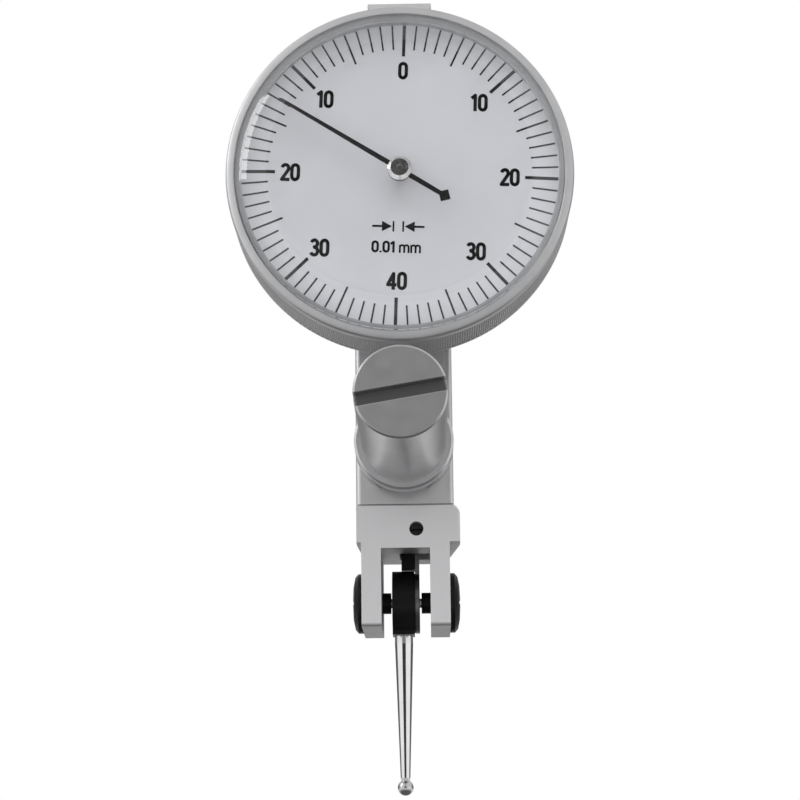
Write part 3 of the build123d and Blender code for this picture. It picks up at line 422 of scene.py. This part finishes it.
for name, material in NODE_FINISHES.items():
    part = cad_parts[name]
    if not part.material_slots:
        part.data.materials.append(None)
    for held in part.material_slots:
        held.material = material

# ---------------------------------------------------------------- turned pieces


def piece(name, shape, material, crease=30.0):
    """A new object from a bmesh, shaded smooth except across sharp edges."""
    mesh = bpy.data.meshes.new(name)
    bmesh.ops.recalc_face_normals(shape, faces=shape.faces)
    shape.to_mesh(mesh)
    shape.free()
    mesh.shade_smooth()
    mesh.set_sharp_from_angle(angle=math.radians(crease))
    made = bpy.data.objects.new(name, mesh)
    made.data.materials.append(material)
    bpy.context.scene.collection.objects.link(made)
    return made


def even_angles(count):
    """That many even steps of a whole turn, in radians."""
    return [2 * math.pi * step / count for step in range(count)]


def dial_point(radius, angle, y):
    """A point in metres, from a radius and a depth in mm and an angle clockwise from the dial's top."""
    x = radius * MM * math.sin(angle)
    z = radius * MM * math.cos(angle)
    return Vector((x, y * MM, DIAL_CENTRE.z + z))


def turned_ring(outline, segments, depth_at):
    """A ring about the dial's axis, from a closed (radius, y) outline in mm that depth_at cuts into."""
    shape = bmesh.new()
    rows = []
    for row, (radius, y) in enumerate(outline):
        ring = []
        for step, angle in enumerate(even_angles(segments)):
            ring.append(shape.verts.new(dial_point(radius - depth_at(row, step), angle, y)))
        rows.append(ring)
    for row, ring in enumerate(rows):
        after = rows[(row + 1) % len(rows)]
        for step in range(segments):
            ahead = (step + 1) % segments
            shape.faces.new((ring[step], ring[ahead], after[ahead], after[step]))
    return shape


def turned_disc(outline, segments):
    """A disc about the dial's axis from an open (radius, y) outline in mm, both ends on the axis."""
    shape = bmesh.new()
    first = shape.verts.new(dial_point(0, 0, outline[0][1]))
    last = shape.verts.new(dial_point(0, 0, outline[-1][1]))
    rows = []
    for radius, y in outline[1:-1]:
        rows.append([shape.verts.new(dial_point(radius, angle, y)) for angle in even_angles(segments)])
    for i in range(segments):
        ahead = (i + 1) % segments
        shape.faces.new((first, rows[0][i], rows[0][ahead]))
        shape.faces.new((last, rows[-1][ahead], rows[-1][i]))
        for near, far in zip(rows, rows[1:]):
            shape.faces.new((near[i], near[ahead], far[ahead], far[i]))
    return shape


# The CAD's own sizes, in mm.
BEZEL_LOW, BEZEL_HIGH = corners("bezel_ring")
BEZEL_RADIUS = (BEZEL_HIGH.x - BEZEL_LOW.x) / 2 / MM
BEZEL_FRONT = BEZEL_LOW.y / MM
BEZEL_REAR = BEZEL_HIGH.y / MM
CRYSTAL_LOW, CRYSTAL_HIGH = corners("crystal")
CRYSTAL_RADIUS = (CRYSTAL_HIGH.x - CRYSTAL_LOW.x) / 2 / MM
CRYSTAL_FRONT = CRYSTAL_LOW.y / MM
CRYSTAL_REAR = CRYSTAL_HIGH.y / MM
DIAL_FRONT = corners("dial_plate")[0].y / MM
LEDGE_FRONT = corners("crystal_gasket")[1].y / MM

# Bezel: a sloped satin front, a band of fine diamond knurling and a plain bore.
WINDOW_RADIUS = 14.3
BEZEL_BORE = 14.7
LEDGE_CHAMFER = 0.12
REAR_CHAMFER = 0.22
# How far out from the crystal, and back from the front, the points of the inner lip lie.
INNER_LIP = ((0.05, 0.1), (0.1, 0.02), (0.16, 0.0))
# How far in from the bezel's radius, and back from its front, the points of the rolled outer edge lie.
OUTER_EDGE = ((0.3, 0.06), (0.12, 0.17), (0.03, 0.34), (0.0, 0.55))

KNURL_TEETH = 210
KNURL_STEPS = 4
KNURL_DEPTH = 0.11
KNURL_FRONT = BEZEL_FRONT + 1.15
KNURL_REAR = BEZEL_REAR - 0.55
KNURL_EDGE = 0.1
KNURL_PITCH = 2 * math.pi * BEZEL_RADIUS / KNURL_TEETH


def triangle_wave(turns):
    """0 at whole turns, 1 half way between them."""
    return 1.0 - abs(2.0 * (turns % 1.0) - 1.0)


def knurl_cut(around, along):
    """The depth of a diamond knurl: two crossing sets of grooves."""
    valley = max(1.0 - triangle_wave(around + along), 1.0 - triangle_wave(around - along))
    return KNURL_DEPTH * valley


def make_bezel():
    """The bezel: its ledge and sloped front, the knurled band, and its rear and bore."""
    front = [
        (WINDOW_RADIUS, LEDGE_FRONT + LEDGE_CHAMFER),
        (WINDOW_RADIUS + LEDGE_CHAMFER, LEDGE_FRONT),
        (CRYSTAL_RADIUS + INNER_LIP[0][0], LEDGE_FRONT),
        *[(CRYSTAL_RADIUS + out, BEZEL_FRONT + back) for out, back in INNER_LIP],
        *[(BEZEL_RADIUS - into, BEZEL_FRONT + back) for into, back in OUTER_EDGE],
        (BEZEL_RADIUS, KNURL_FRONT - KNURL_EDGE),
    ]
    row_step = KNURL_PITCH / KNURL_STEPS
    count = int((KNURL_REAR - KNURL_FRONT) / row_step)
    band = [(BEZEL_RADIUS, KNURL_FRONT + i * row_step) for i in range(count + 1)]
    rear = [
        (BEZEL_RADIUS, band[-1][1] + KNURL_EDGE),
        (BEZEL_RADIUS, BEZEL_REAR - REAR_CHAMFER),
        (BEZEL_RADIUS - REAR_CHAMFER, BEZEL_REAR),
        (BEZEL_BORE, BEZEL_REAR),
        (BEZEL_BORE, DIAL_FRONT),
        (WINDOW_RADIUS, DIAL_FRONT),
    ]
    start = len(front)

    def depth_at(row, step):
        if row < start or row >= start + len(band):
            return 0.0
        return knurl_cut(step / KNURL_STEPS, (row - start) / KNURL_STEPS)

    shape = turned_ring(front + band + rear, KNURL_TEETH * KNURL_STEPS, depth_at)
    return piece("bezel_knurled", shape, bezel_chrome, crease=24.0)


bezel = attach(make_bezel(), "bezel")
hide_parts("bezel_ring")

# Crystal: a shell with a flat middle that rolls back towards its rim, first gently and then faster.
GLASS_THICKNESS = 1.15
FLAT_RADIUS = 12.0
ROLL_DEPTH = 1.5
ROLL_STEPS = 10
ROLL_EVENLY = 0.15
# The rim is one ring of points: RIM_STEP outside the end of the roll, and RIM_EDGE in front of the back.
RIM_STEP = 0.01
RIM_EDGE = 0.03
CRYSTAL_SEGMENTS = 192


def make_crystal():
    """The window, from the middle of its back round the rim to the middle of its front."""
    back = CRYSTAL_FRONT + GLASS_THICKNESS
    shares = [step / ROLL_STEPS for step in range(ROLL_STEPS + 1)]
    falls = [ROLL_EVENLY * share + (1.0 - ROLL_EVENLY) * share**2 for share in shares]
    radii = [FLAT_RADIUS + (CRYSTAL_RADIUS - RIM_STEP - FLAT_RADIUS) * share for share in shares]
    behind = [(radius, back + (CRYSTAL_REAR - back) * fall) for radius, fall in zip(radii, falls)]
    ahead = [(radius, CRYSTAL_FRONT + ROLL_DEPTH * fall) for radius, fall in zip(radii, falls)]
    rim = (CRYSTAL_RADIUS, CRYSTAL_REAR - RIM_EDGE)
    outline = [(0, back), *behind, rim, *ahead[::-1], (0, CRYSTAL_FRONT)]
    return piece("crystal_window", turned_disc(outline, CRYSTAL_SEGMENTS), crystal_clear, crease=18.0)


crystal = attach(make_crystal(), "bezel")
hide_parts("crystal")

# ---------------------------------------------------------------- dial printing

# In mm from the dial's middle: u to the right and v up, on a dial that is rolled a little.
DIAL_ROLL = math.radians(2.3)
INK_THICKNESS = 0.012


def dial_vertex(shape, u, v, y):
    """A vertex in metres from dial coordinates and a depth in mm, turned with the dial."""
    c, s = math.cos(DIAL_ROLL), math.sin(DIAL_ROLL)
    return shape.verts.new(((u * c + v * s) * MM, y * MM, DIAL_CENTRE.z + (v * c - u * s) * MM))


def add_bar(shape, outline):
    """A thin raised bar of ink, from its outline in dial coordinates."""
    front = [dial_vertex(shape, u, v, DIAL_FRONT - INK_THICKNESS) for u, v in outline]
    rear = [dial_vertex(shape, u, v, DIAL_FRONT) for u, v in outline]
    shape.faces.new(front)
    shape.faces.new(rear[::-1])
    for i in range(len(front)):
        j = (i + 1) % len(front)
        shape.faces.new((front[j], front[i], rear[i], rear[j]))


# Graduation lines: each kind has the radius where it starts and half its width.
DIVISIONS = 80
TEN_TICK = (11.5, 0.15)
FIVE_TICK = (11.5, 0.09)
SHORT_TICK = (12.15, 0.08)
TICK_OUTER = WINDOW_RADIUS - 0.02


def tick_kind(division):
    """Which kind of line a division has."""
    if division % 10 == 0:
        return TEN_TICK
    if division % 5 == 0:
        return FIVE_TICK
    return SHORT_TICK


def make_ticks():
    """Eighty graduation lines: long bold tens, long fives and short ones between them."""
    shape = bmesh.new()
    for division, angle in enumerate(even_angles(DIVISIONS)):
        inner, half = tick_kind(division)
        c, s = math.cos(angle), math.sin(angle)
        outline = [(-half, inner), (half, inner), (half, TICK_OUTER), (-half, TICK_OUTER)]
        add_bar(shape, [(x * c + r * s, r * c - x * s) for x, r in outline])
    return shape


def arc(u, v, radius_u, radius_v, start, end, steps=10):
    """Points of an arc, its angles in degrees anticlockwise from the right."""
    points = []
    for i in range(steps + 1):
        angle = math.radians(start + (end - start) * i / steps)
        points.append((u + radius_u * math.cos(angle), v + radius_v * math.sin(angle)))
    return points


# Each character's centre lines in a box one high, standing on -0.5, and half its width.
GLYPHS = {
    "0": ([arc(0, 0.21, 0.19, 0.21, 0, 180) + arc(0, -0.21, 0.19, 0.21, 180, 360) + [(0.19, 0.21)]], 0.27),
    "1": ([[(0.05, -0.5), (0.05, 0.42), (-0.17, 0.24)]], 0.19),
    "2": ([arc(0, 0.22, 0.19, 0.2, 165, -35) + [(-0.2, -0.42), (0.26, -0.42)]], 0.27),
    "3": (
        [
            arc(-0.01, 0.225, 0.18, 0.195, 160, -90) + [(-0.08, 0.03)],
            arc(-0.01, -0.205, 0.2, 0.215, 90, -160),
        ],
        0.27,
    ),
    "4": ([[(0.1, -0.5), (0.1, 0.4), (-0.22, -0.22), (0.28, -0.22)]], 0.29),
    "m": (
        [
            [(-0.34, -0.5), (-0.34, 0.18)],
            arc(-0.17, -0.02, 0.17, 0.18, 180, 0) + [(0.0, -0.5)],
            arc(0.17, -0.02, 0.17, 0.18, 180, 0) + [(0.34, -0.5)],
        ],
        0.42,
    ),
    ".": ([[(0, -0.5), (0, -0.36)]], 0.1),
}
GLYPH_GAP = 0.05


def add_stroke(shape, points, half):
    """A printed line of even thickness: a bar for each stretch and a round at each point between them."""
    for near, far in zip(points, points[1:]):
        along = Vector((far[0] - near[0], far[1] - near[1]))
        along.normalize()
        side = Vector((-along.y, along.x)) * half
        ends = ((near, 1), (near, -1), (far, -1), (far, 1))
        add_bar(shape, [(end[0] + side.x * way, end[1] + side.y * way) for end, way in ends])
    for u, v in points[1:-1]:
        add_bar(shape, arc(u, v, half, half, 0, 315, 7))


def add_word(shape, word, u, v, height, squeeze, half):
    """Bold printed characters centred on a place on the dial."""
    drawn = [GLYPHS[letter] for letter in word]
    widths = [2 * reach * height * squeeze for strokes, reach in drawn]
    start = u - (sum(widths) + GLYPH_GAP * (len(word) - 1)) / 2
    for (strokes, reach), width in zip(drawn, widths):
        middle_u = start + width / 2
        for points in strokes:
            scaled = [(middle_u + x * height * squeeze, v + z * (height - half)) for x, z in points]
            add_stroke(shape, scaled, half)
        start += width + GLYPH_GAP


# The numbers round the dial, clockwise from its top.
NUMBERS = ("0", "10", "20", "30", "40", "30", "20", "10")
NUMBER_RADIUS = 10.1
NUMBER_HEIGHT = 1.85
NUMBER_SQUEEZE = 0.86
NUMBER_HALF = 0.16

# The value of a division: each word with its middle's u, its squeeze and half its line's width.
VALUE_WORDS = (("0.01", -1.3, 1.02, 0.11), ("mm", 1.12, 0.98, 0.09))
VALUE_V = -6.9
VALUE_HEIGHT = 1.2

# The two limit lines over that value, each with an arrow that points at it from outside.
LIMIT_V = -4.95
LIMIT_RISE = 0.5
LIMIT_U = 0.45
LIMIT_HALF = 0.08
ARROW_TIP = 0.58
ARROW_BACK = 1.5
ARROW_TAIL = 2.4
TAIL_HALF = 0.1


def add_limit_mark(shape, side):
    """One limit line and its arrow, on the left (-1) or the right (1)."""
    low, high = LIMIT_V - LIMIT_RISE, LIMIT_V + LIMIT_RISE
    add_stroke(shape, [(side * LIMIT_U, low), (side * LIMIT_U, high)], LIMIT_HALF)
    add_bar(shape, [(side * ARROW_TIP, LIMIT_V), (side * ARROW_BACK, high), (side * ARROW_BACK, low)])
    add_stroke(shape, [(side * ARROW_BACK, LIMIT_V), (side * ARROW_TAIL, LIMIT_V)], TAIL_HALF)


def make_lettering():
    """The numbers round the dial and the value of a division with its limit marks."""
    shape = bmesh.new()
    for number, angle in zip(NUMBERS, even_angles(len(NUMBERS))):
        u, v = NUMBER_RADIUS * math.sin(angle), NUMBER_RADIUS * math.cos(angle)
        add_word(shape, number, u, v, NUMBER_HEIGHT, NUMBER_SQUEEZE, NUMBER_HALF)
    for word, u, squeeze, half in VALUE_WORDS:
        add_word(shape, word, u, VALUE_V, VALUE_HEIGHT, squeeze, half)
    for side in (-1, 1):
        add_limit_mark(shape, side)
    return shape


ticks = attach(piece("dial_graduations", make_ticks(), dial_ink), "bezel")
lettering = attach(piece("dial_numbers", make_lettering(), dial_ink), "bezel")

# ---------------------------------------------------------------- return spring

# A leaf whose foot sits in the case and whose tip leans on the lever.
LEAF_LOW, LEAF_HIGH = corners("return_spring")
LEAF_CUTS = 12


def make_return_leaf():
    """The return spring's own leaf, cut across at even steps."""
    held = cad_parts["return_spring"]
    shape = bmesh.new()
    shape.from_mesh(held.data)
    shape.transform(held.matrix_world)
    bmesh.ops.remove_doubles(shape, verts=shape.verts, dist=1e-7)
    for i in range(1, LEAF_CUTS):
        height = LEAF_LOW.z + (LEAF_HIGH.z - LEAF_LOW.z) * i / LEAF_CUTS
        parts = shape.verts[:] + shape.edges[:] + shape.faces[:]
        bmesh.ops.bisect_plane(shape, geom=parts, plane_co=(0, 0, height), plane_no=(0, 0, 1))
    return piece("return_leaf", shape, spring_steel)


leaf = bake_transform(make_return_leaf())
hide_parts("return_spring")

# ---------------------------------------------------------------- floor

FLOOR_RADIUS = 2.0
FLOOR_DROP = 0.013
FLOOR_SIDES = 64
PAPER_TONES = (0.9215, 0.95)
PAPER_MOTTLE = 12.0


def floor_paper():
    """Matt paper with a faint mottle."""
    material, tree = empty_material("floor_paper")
    mottle = noise(tree, node(tree, "TexCoord").outputs["Object"], PAPER_MOTTLE)
    tone = blend_colours(tree, mottle, colour(PAPER_TONES[0]), colour(PAPER_TONES[1]))
    shader = node(tree, "BsdfPrincipled", {"Base Color": tone, "Roughness": 0.9})
    node(tree, "OutputMaterial", {"Surface": shader.outputs[0]})
    return material


def make_floor():
    """A large round pale floor, a little below the hanging contact ball and below the camera."""
    shape = bmesh.new()
    level = cad_bounds[0][2] - FLOOR_DROP
    rim = []
    for angle in even_angles(FLOOR_SIDES):
        rim.append(shape.verts.new((FLOOR_RADIUS * math.cos(angle), FLOOR_RADIUS * math.sin(angle), level)))
    shape.faces.new(rim)
    return piece("floor", shape, floor_paper())


floor = make_floor()
floor.visible_glossy = False
floor.visible_diffuse = False

# ---------------------------------------------------------------- world

# Heights are sines of the angle over the horizon, and turns are radians aside from the front.
# A pair of limits is where a slope starts and ends; four limits are a slope up and a slope down.
WORLD_LEVEL = 0.88
GROUND_LIMITS = (-0.65, -0.3)
GROUND_LEVEL = 0.15
CEILING_LIMITS = (0.8, 0.95)
CEILING_LEVEL = 0.75
HORIZON_LIMITS = (-0.12, -0.05, 0.08, 0.14)
UPRIGHT_LIMITS = (-0.05, 0.05, 0.35, 0.5)
AHEAD_LIMITS = (0.34, 0.44)
BEHIND_LIMITS = (1.6, 1.8)
TABLE_LEVEL = 0.05
STRIP_LEVEL = 1.35
LOWER_WALL_LEVEL = 0.3
WALL_LEVEL = 0.45
PATCH_WAY = (0.0, -0.948, 0.318)
PATCH_LIMITS = (0.975, 0.992)
PATCH_LEVEL = 0.1


def between(tree, value, up_from, up_to, down_from, down_to):
    """1 between a slope up and a slope down, and 0 outside them."""
    up = spread(tree, value, up_from, up_to, 0.0, 1.0)
    return maths(tree, "MULTIPLY", up, spread(tree, value, down_from, down_to, 1.0, 0.0))


def shade(tree, first, second, level):
    """1 outside two overlapping regions, and a level where both are whole."""
    return spread(tree, maths(tree, "MULTIPLY", first, second), 0.0, 1.0, 1.0, level)


def make_world():
    """A soft studio, bright above; dark below, low in front and in a small patch over the camera."""
    world = bpy.data.worlds.new("studio")
    bpy.context.scene.world = world
    world.use_nodes = True
    tree = world.node_tree
    tree.nodes.clear()
    way = vector_maths(tree, "NORMALIZE", node(tree, "TexCoord").outputs["Generated"]).outputs[0]
    x, y, rise = node(tree, "SeparateXYZ", {0: way}).outputs
    turn = maths(tree, "ARCTAN2", x, maths(tree, "MULTIPLY", y, -1.0))
    aside = maths(tree, "ABSOLUTE", turn)
    low = between(tree, rise, *HORIZON_LIMITS)
    upright = between(tree, rise, *UPRIGHT_LIMITS)
    ahead = spread(tree, aside, *AHEAD_LIMITS, 1.0, 0.0)
    behind = spread(tree, aside, *BEHIND_LIMITS, 0.0, 1.0)
    beside = maths(tree, "SUBTRACT", maths(tree, "SUBTRACT", 1.0, behind), ahead, clamp=True)
    towards = vector_maths(tree, "DOT_PRODUCT", way, PATCH_WAY).outputs["Value"]
    factors = (
        spread(tree, rise, *CEILING_LIMITS, 1.0, CEILING_LEVEL),
        shade(tree, ahead, low, TABLE_LEVEL),
        shade(tree, beside, low, STRIP_LEVEL),
        shade(tree, behind, low, LOWER_WALL_LEVEL),
        shade(tree, behind, upright, WALL_LEVEL),
        spread(tree, towards, *PATCH_LIMITS, 1.0, PATCH_LEVEL),
    )
    level = spread(tree, rise, *GROUND_LIMITS, GROUND_LEVEL, WORLD_LEVEL)
    for factor in factors:
        level = maths(tree, "MULTIPLY", level, factor)
    room = node(tree, "Background", {"Color": (1.0, 1.0, 1.0, 1.0), "Strength": level})
    paper = node(tree, "Background", {"Color": (1.0, 1.0, 1.0, 1.0), "Strength": 1.0})
    seen = node(tree, "LightPath").outputs["Is Camera Ray"]
    both = node(tree, "MixShader", {0: seen, 1: room.outputs[0], 2: paper.outputs[0]})
    node(tree, "OutputWorld", {"Surface": both.outputs[0]})


make_world()

# ---------------------------------------------------------------- lamps

LAMP_TARGET = Vector((0.0, 0.0, 0.01))
LAMP_DISTANCE = 0.5


def softbox(name, azimuth, elevation, width, height, radiance, mirrored):
    """A rectangular lamp facing the object, azimuth 0 at the camera and positive to the right."""
    a, e = math.radians(azimuth), math.radians(elevation)
    way = Vector((math.sin(a) * math.cos(e), -math.cos(a) * math.cos(e), math.sin(e)))
    lamp = bpy.data.lights.new(name, "AREA")
    lamp.shape = "RECTANGLE"
    lamp.size = width
    lamp.size_y = height
    lamp.energy = radiance * math.pi * width * height
    made = bpy.data.objects.new(name, lamp)
    made.location = LAMP_TARGET + LAMP_DISTANCE * way
    made.rotation_mode = "QUATERNION"
    made.rotation_quaternion = way.to_track_quat("Z", "Y")
    made.visible_camera = False
    made.visible_glossy = mirrored
    made.visible_transmission = mirrored
    bpy.context.scene.collection.objects.link(made)


softbox("key_box", azimuth=-73, elevation=30, width=0.13, height=0.26, radiance=6.0, mirrored=True)
softbox("top_box", azimuth=10, elevation=58, width=0.6, height=0.4, radiance=1.9, mirrored=False)

# ---------------------------------------------------------------- camera

CAMERA_PLACE = Vector((2.053, -191.922, -36.932)) * MM
CAMERA_PITCH = math.radians(11.98)
CAMERA_YAW = math.radians(0.705)
CAMERA_ROLL = math.radians(-0.648)
SENSOR_WIDTH = 36.0
LENS_LENGTH = 94.5


def make_camera():
    """A long lens below the dial, looking slightly up."""
    run = math.cos(CAMERA_PITCH)
    forward = Vector((-math.sin(CAMERA_YAW) * run, math.cos(CAMERA_YAW) * run, math.sin(CAMERA_PITCH)))
    level = forward.cross(Vector((0, 0, 1))).normalized()
    upright = level.cross(forward)
    right = math.cos(CAMERA_ROLL) * level + math.sin(CAMERA_ROLL) * upright
    up = math.cos(CAMERA_ROLL) * upright - math.sin(CAMERA_ROLL) * level
    lens = bpy.data.cameras.new("camera")
    lens.sensor_width = SENSOR_WIDTH
    lens.lens = LENS_LENGTH
    lens.clip_start = 0.01
    lens.clip_end = 20.0
    made = bpy.data.objects.new("camera", lens)
    sides = Matrix((right, up, -forward)).transposed().to_4x4()
    made.matrix_world = Matrix.Translation(CAMERA_PLACE) @ sides
    bpy.context.scene.collection.objects.link(made)
    bpy.context.scene.camera = made


make_camera()
bpy.context.scene.view_settings.view_transform = "Standard"
